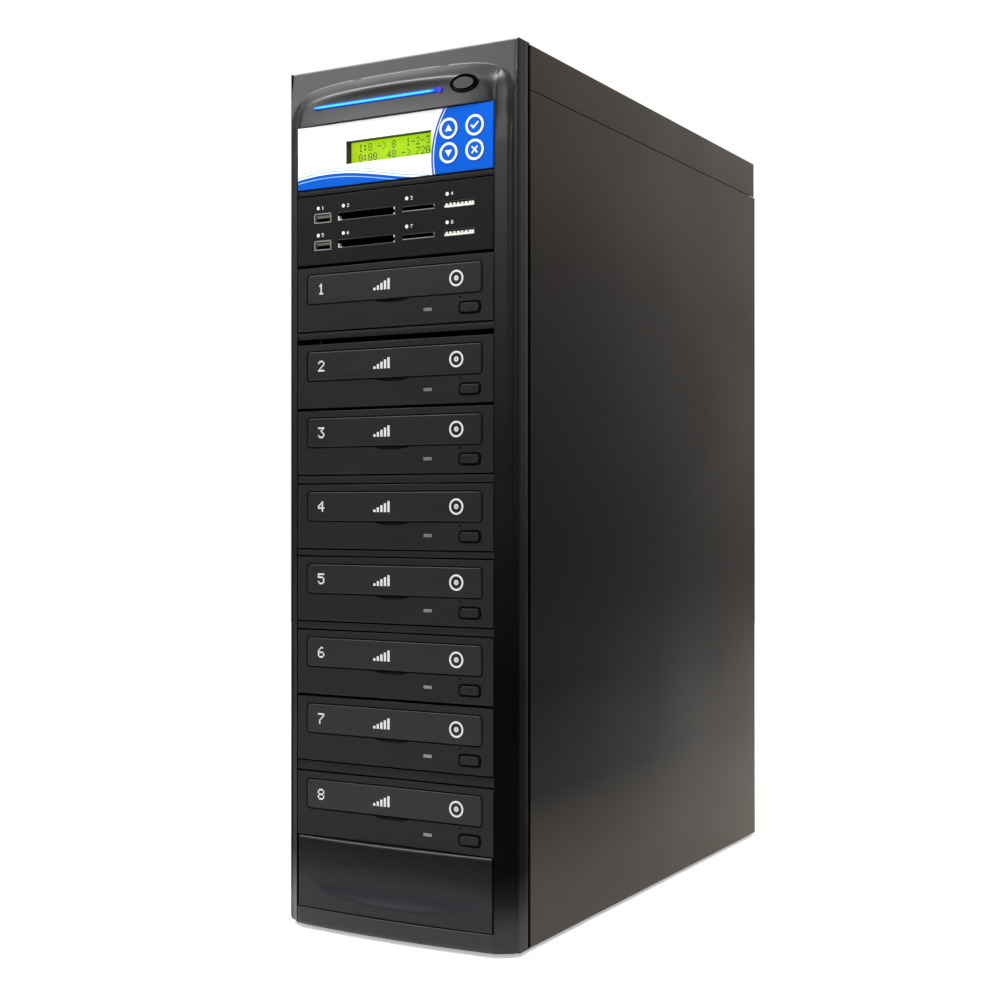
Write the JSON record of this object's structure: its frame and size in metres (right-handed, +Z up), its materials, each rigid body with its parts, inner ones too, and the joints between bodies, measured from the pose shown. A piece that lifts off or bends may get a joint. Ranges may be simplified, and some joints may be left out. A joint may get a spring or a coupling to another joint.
{
  "type": "disc duplicator tower",
  "caption": "Upright optical disc copier: a steel tower with a moulded front bezel, a display panel with keys, a card reader and a stack of disc drives whose trays slide out.",
  "frame": {"origin": "under the middle of the tower, on the surface that its feet stand on", "axes": "+Z up, the tower's height; +X to the right seen from the front; +Y from the front to the back"},
  "size_m": [0.1738, 0.434, 0.5663],
  "materials": {
    "bezel_plastic": "fine satin texture, moulded",
    "light_bar_lens": "clear lens lit blue from behind",
    "gloss_black_plastic": "glossy",
    "overlay_film": "printed film, white with blue fields",
    "display_glass": "lit yellow-green dot display",
    "key_film": "printed film, blue with white ring",
    "reader_plastic": "fine texture",
    "socket_metal": "nickel plated",
    "drive_plastic": "fine satin texture",
    "tray_front_plastic": "satin, faint level brushing",
    "tray_plastic": "matt moulded",
    "indicator_lens": "translucent grey, unlit",
    "zinc_steel": "zinc plated sheet",
    "motor_metal": "turned",
    "inner_plastic": "matt",
    "screw_steel": "zinc plated",
    "circuit_board": "solder mask",
    "painted_steel": "satin powder coat, brown-black",
    "thumbscrew_steel": "knurled, plated",
    "foot_rubber": "matt",
    "inlet_plastic": "moulded",
    "rocker_plastic": "semi-gloss",
    "wire_jacket": "flexible jacket"
  },
  "bodies": {
    "casing": {"card_reader_panel": "reader_plastic", "card_reader_sockets": "socket_metal", "chassis_base": "painted_steel", "control_panel": "overlay_film", "controller_board": "circuit_board", "display_module": "display_glass", "drive_bezels": "drive_plastic", "drive_cage_left": "zinc_steel", "drive_cage_right": "zinc_steel", "drive_cases": "zinc_steel", "drive_indicator_lenses": "indicator_lens", "drive_screws": "screw_steel", "exhaust_fan_frame": "inner_plastic", "feet": "foot_rubber", "front_bezel": "bezel_plastic", "front_frame": "zinc_steel", "laser_sleds": "inner_plastic", "light_bar": "light_bar_lens", "lower_bay_cover": "bezel_plastic", "power_inlet": "inlet_plastic", "power_supply_case": "zinc_steel", "rear_panel": "painted_steel", "spindle_motors": "motor_metal", "top_cover": "painted_steel", "wiring_loom": "wire_jacket"},
    "power_button": {"power_button": "gloss_black_plastic"},
    "key_up": {"key_up": "key_film"},
    "key_enter": {"key_enter": "key_film"},
    "key_down": {"key_down": "key_film"},
    "key_escape": {"key_escape": "key_film"},
    "fan_rotor": {"exhaust_fan_rotor": "inner_plastic"},
    "rocker": {"power_rocker_switch": "rocker_plastic"},
    "left_cover": {"side_panel_left": "painted_steel", "thumbscrews_left": "thumbscrew_steel"},
    "right_cover": {"side_panel_right": "painted_steel", "thumbscrews_right": "thumbscrew_steel"},
    "tray_1": {"disc_tray_1": "tray_plastic", "tray_front_1": "tray_front_plastic"},
    "eject_1": {"eject_button_1": "drive_plastic"},
    "tray_2": {"disc_tray_2": "tray_plastic", "tray_front_2": "tray_front_plastic"},
    "eject_2": {"eject_button_2": "drive_plastic"},
    "tray_3": {"disc_tray_3": "tray_plastic", "tray_front_3": "tray_front_plastic"},
    "eject_3": {"eject_button_3": "drive_plastic"},
    "tray_4": {"disc_tray_4": "tray_plastic", "tray_front_4": "tray_front_plastic"},
    "eject_4": {"eject_button_4": "drive_plastic"},
    "tray_5": {"disc_tray_5": "tray_plastic", "tray_front_5": "tray_front_plastic"},
    "eject_5": {"eject_button_5": "drive_plastic"},
    "tray_6": {"disc_tray_6": "tray_plastic", "tray_front_6": "tray_front_plastic"},
    "eject_6": {"eject_button_6": "drive_plastic"},
    "tray_7": {"disc_tray_7": "tray_plastic", "tray_front_7": "tray_front_plastic"},
    "eject_7": {"eject_button_7": "drive_plastic"},
    "tray_8": {"disc_tray_8": "tray_plastic", "tray_front_8": "tray_front_plastic"},
    "eject_8": {"eject_button_8": "drive_plastic"}
  },
  "joints": [
    {"name": "tray_1_slide", "type": "slide", "parent": "casing", "child": "tray_1", "axis": [0, -1, 0], "range_m": [0, 0.138]},
    {"name": "tray_2_slide", "type": "slide", "parent": "casing", "child": "tray_2", "axis": [0, -1, 0], "range_m": [0, 0.138]},
    {"name": "tray_3_slide", "type": "slide", "parent": "casing", "child": "tray_3", "axis": [0, -1, 0], "range_m": [0, 0.138]},
    {"name": "tray_4_slide", "type": "slide", "parent": "casing", "child": "tray_4", "axis": [0, -1, 0], "range_m": [0, 0.138]},
    {"name": "tray_5_slide", "type": "slide", "parent": "casing", "child": "tray_5", "axis": [0, -1, 0], "range_m": [0, 0.138]},
    {"name": "tray_6_slide", "type": "slide", "parent": "casing", "child": "tray_6", "axis": [0, -1, 0], "range_m": [0, 0.138]},
    {"name": "tray_7_slide", "type": "slide", "parent": "casing", "child": "tray_7", "axis": [0, -1, 0], "range_m": [0, 0.138]},
    {"name": "tray_8_slide", "type": "slide", "parent": "casing", "child": "tray_8", "axis": [0, -1, 0], "range_m": [0, 0.138]},
    {"name": "eject_1_press", "type": "slide", "parent": "casing", "child": "eject_1", "axis": [0, 1, 0], "range_m": [0, 0.0008], "stiffness_N_per_m": 1200},
    {"name": "eject_2_press", "type": "slide", "parent": "casing", "child": "eject_2", "axis": [0, 1, 0], "range_m": [0, 0.0008], "stiffness_N_per_m": 1200},
    {"name": "eject_3_press", "type": "slide", "parent": "casing", "child": "eject_3", "axis": [0, 1, 0], "range_m": [0, 0.0008], "stiffness_N_per_m": 1200},
    {"name": "eject_4_press", "type": "slide", "parent": "casing", "child": "eject_4", "axis": [0, 1, 0], "range_m": [0, 0.0008], "stiffness_N_per_m": 1200},
    {"name": "eject_5_press", "type": "slide", "parent": "casing", "child": "eject_5", "axis": [0, 1, 0], "range_m": [0, 0.0008], "stiffness_N_per_m": 1200},
    {"name": "eject_6_press", "type": "slide", "parent": "casing", "child": "eject_6", "axis": [0, 1, 0], "range_m": [0, 0.0008], "stiffness_N_per_m": 1200},
    {"name": "eject_7_press", "type": "slide", "parent": "casing", "child": "eject_7", "axis": [0, 1, 0], "range_m": [0, 0.0008], "stiffness_N_per_m": 1200},
    {"name": "eject_8_press", "type": "slide", "parent": "casing", "child": "eject_8", "axis": [0, 1, 0], "range_m": [0, 0.0008], "stiffness_N_per_m": 1200},
    {"name": "key_up_press", "type": "slide", "parent": "casing", "child": "key_up", "axis": [0, 1, 0], "range_m": [0, 0.0005], "stiffness_N_per_m": 2500},
    {"name": "key_enter_press", "type": "slide", "parent": "casing", "child": "key_enter", "axis": [0, 1, 0], "range_m": [0, 0.0005], "stiffness_N_per_m": 2500},
    {"name": "key_down_press", "type": "slide", "parent": "casing", "child": "key_down", "axis": [0, 1, 0], "range_m": [0, 0.0005], "stiffness_N_per_m": 2500},
    {"name": "key_escape_press", "type": "slide", "parent": "casing", "child": "key_escape", "axis": [0, 1, 0], "range_m": [0, 0.0005], "stiffness_N_per_m": 2500},
    {"name": "power_button_press", "type": "slide", "parent": "casing", "child": "power_button", "axis": [0, 1, 0], "range_m": [0, 0.002], "stiffness_N_per_m": 700},
    {"name": "left_cover_slide", "type": "slide", "parent": "casing", "child": "left_cover", "axis": [0, 1, 0], "range_m": [0, 0.018]},
    {"name": "right_cover_slide", "type": "slide", "parent": "casing", "child": "right_cover", "axis": [0, 1, 0], "range_m": [0, 0.018]},
    {"name": "rocker_tilt", "type": "hinge", "parent": "casing", "child": "rocker", "pos_m": [0.052, 0.2046, 0.5233], "axis": [1, 0, 0], "range_deg": [0, 14]},
    {"name": "fan_spin", "type": "hinge", "parent": "casing", "child": "fan_rotor", "pos_m": [0, 0.183, 0.3025], "axis": [0, 1, 0], "continuous": true}
  ]
}
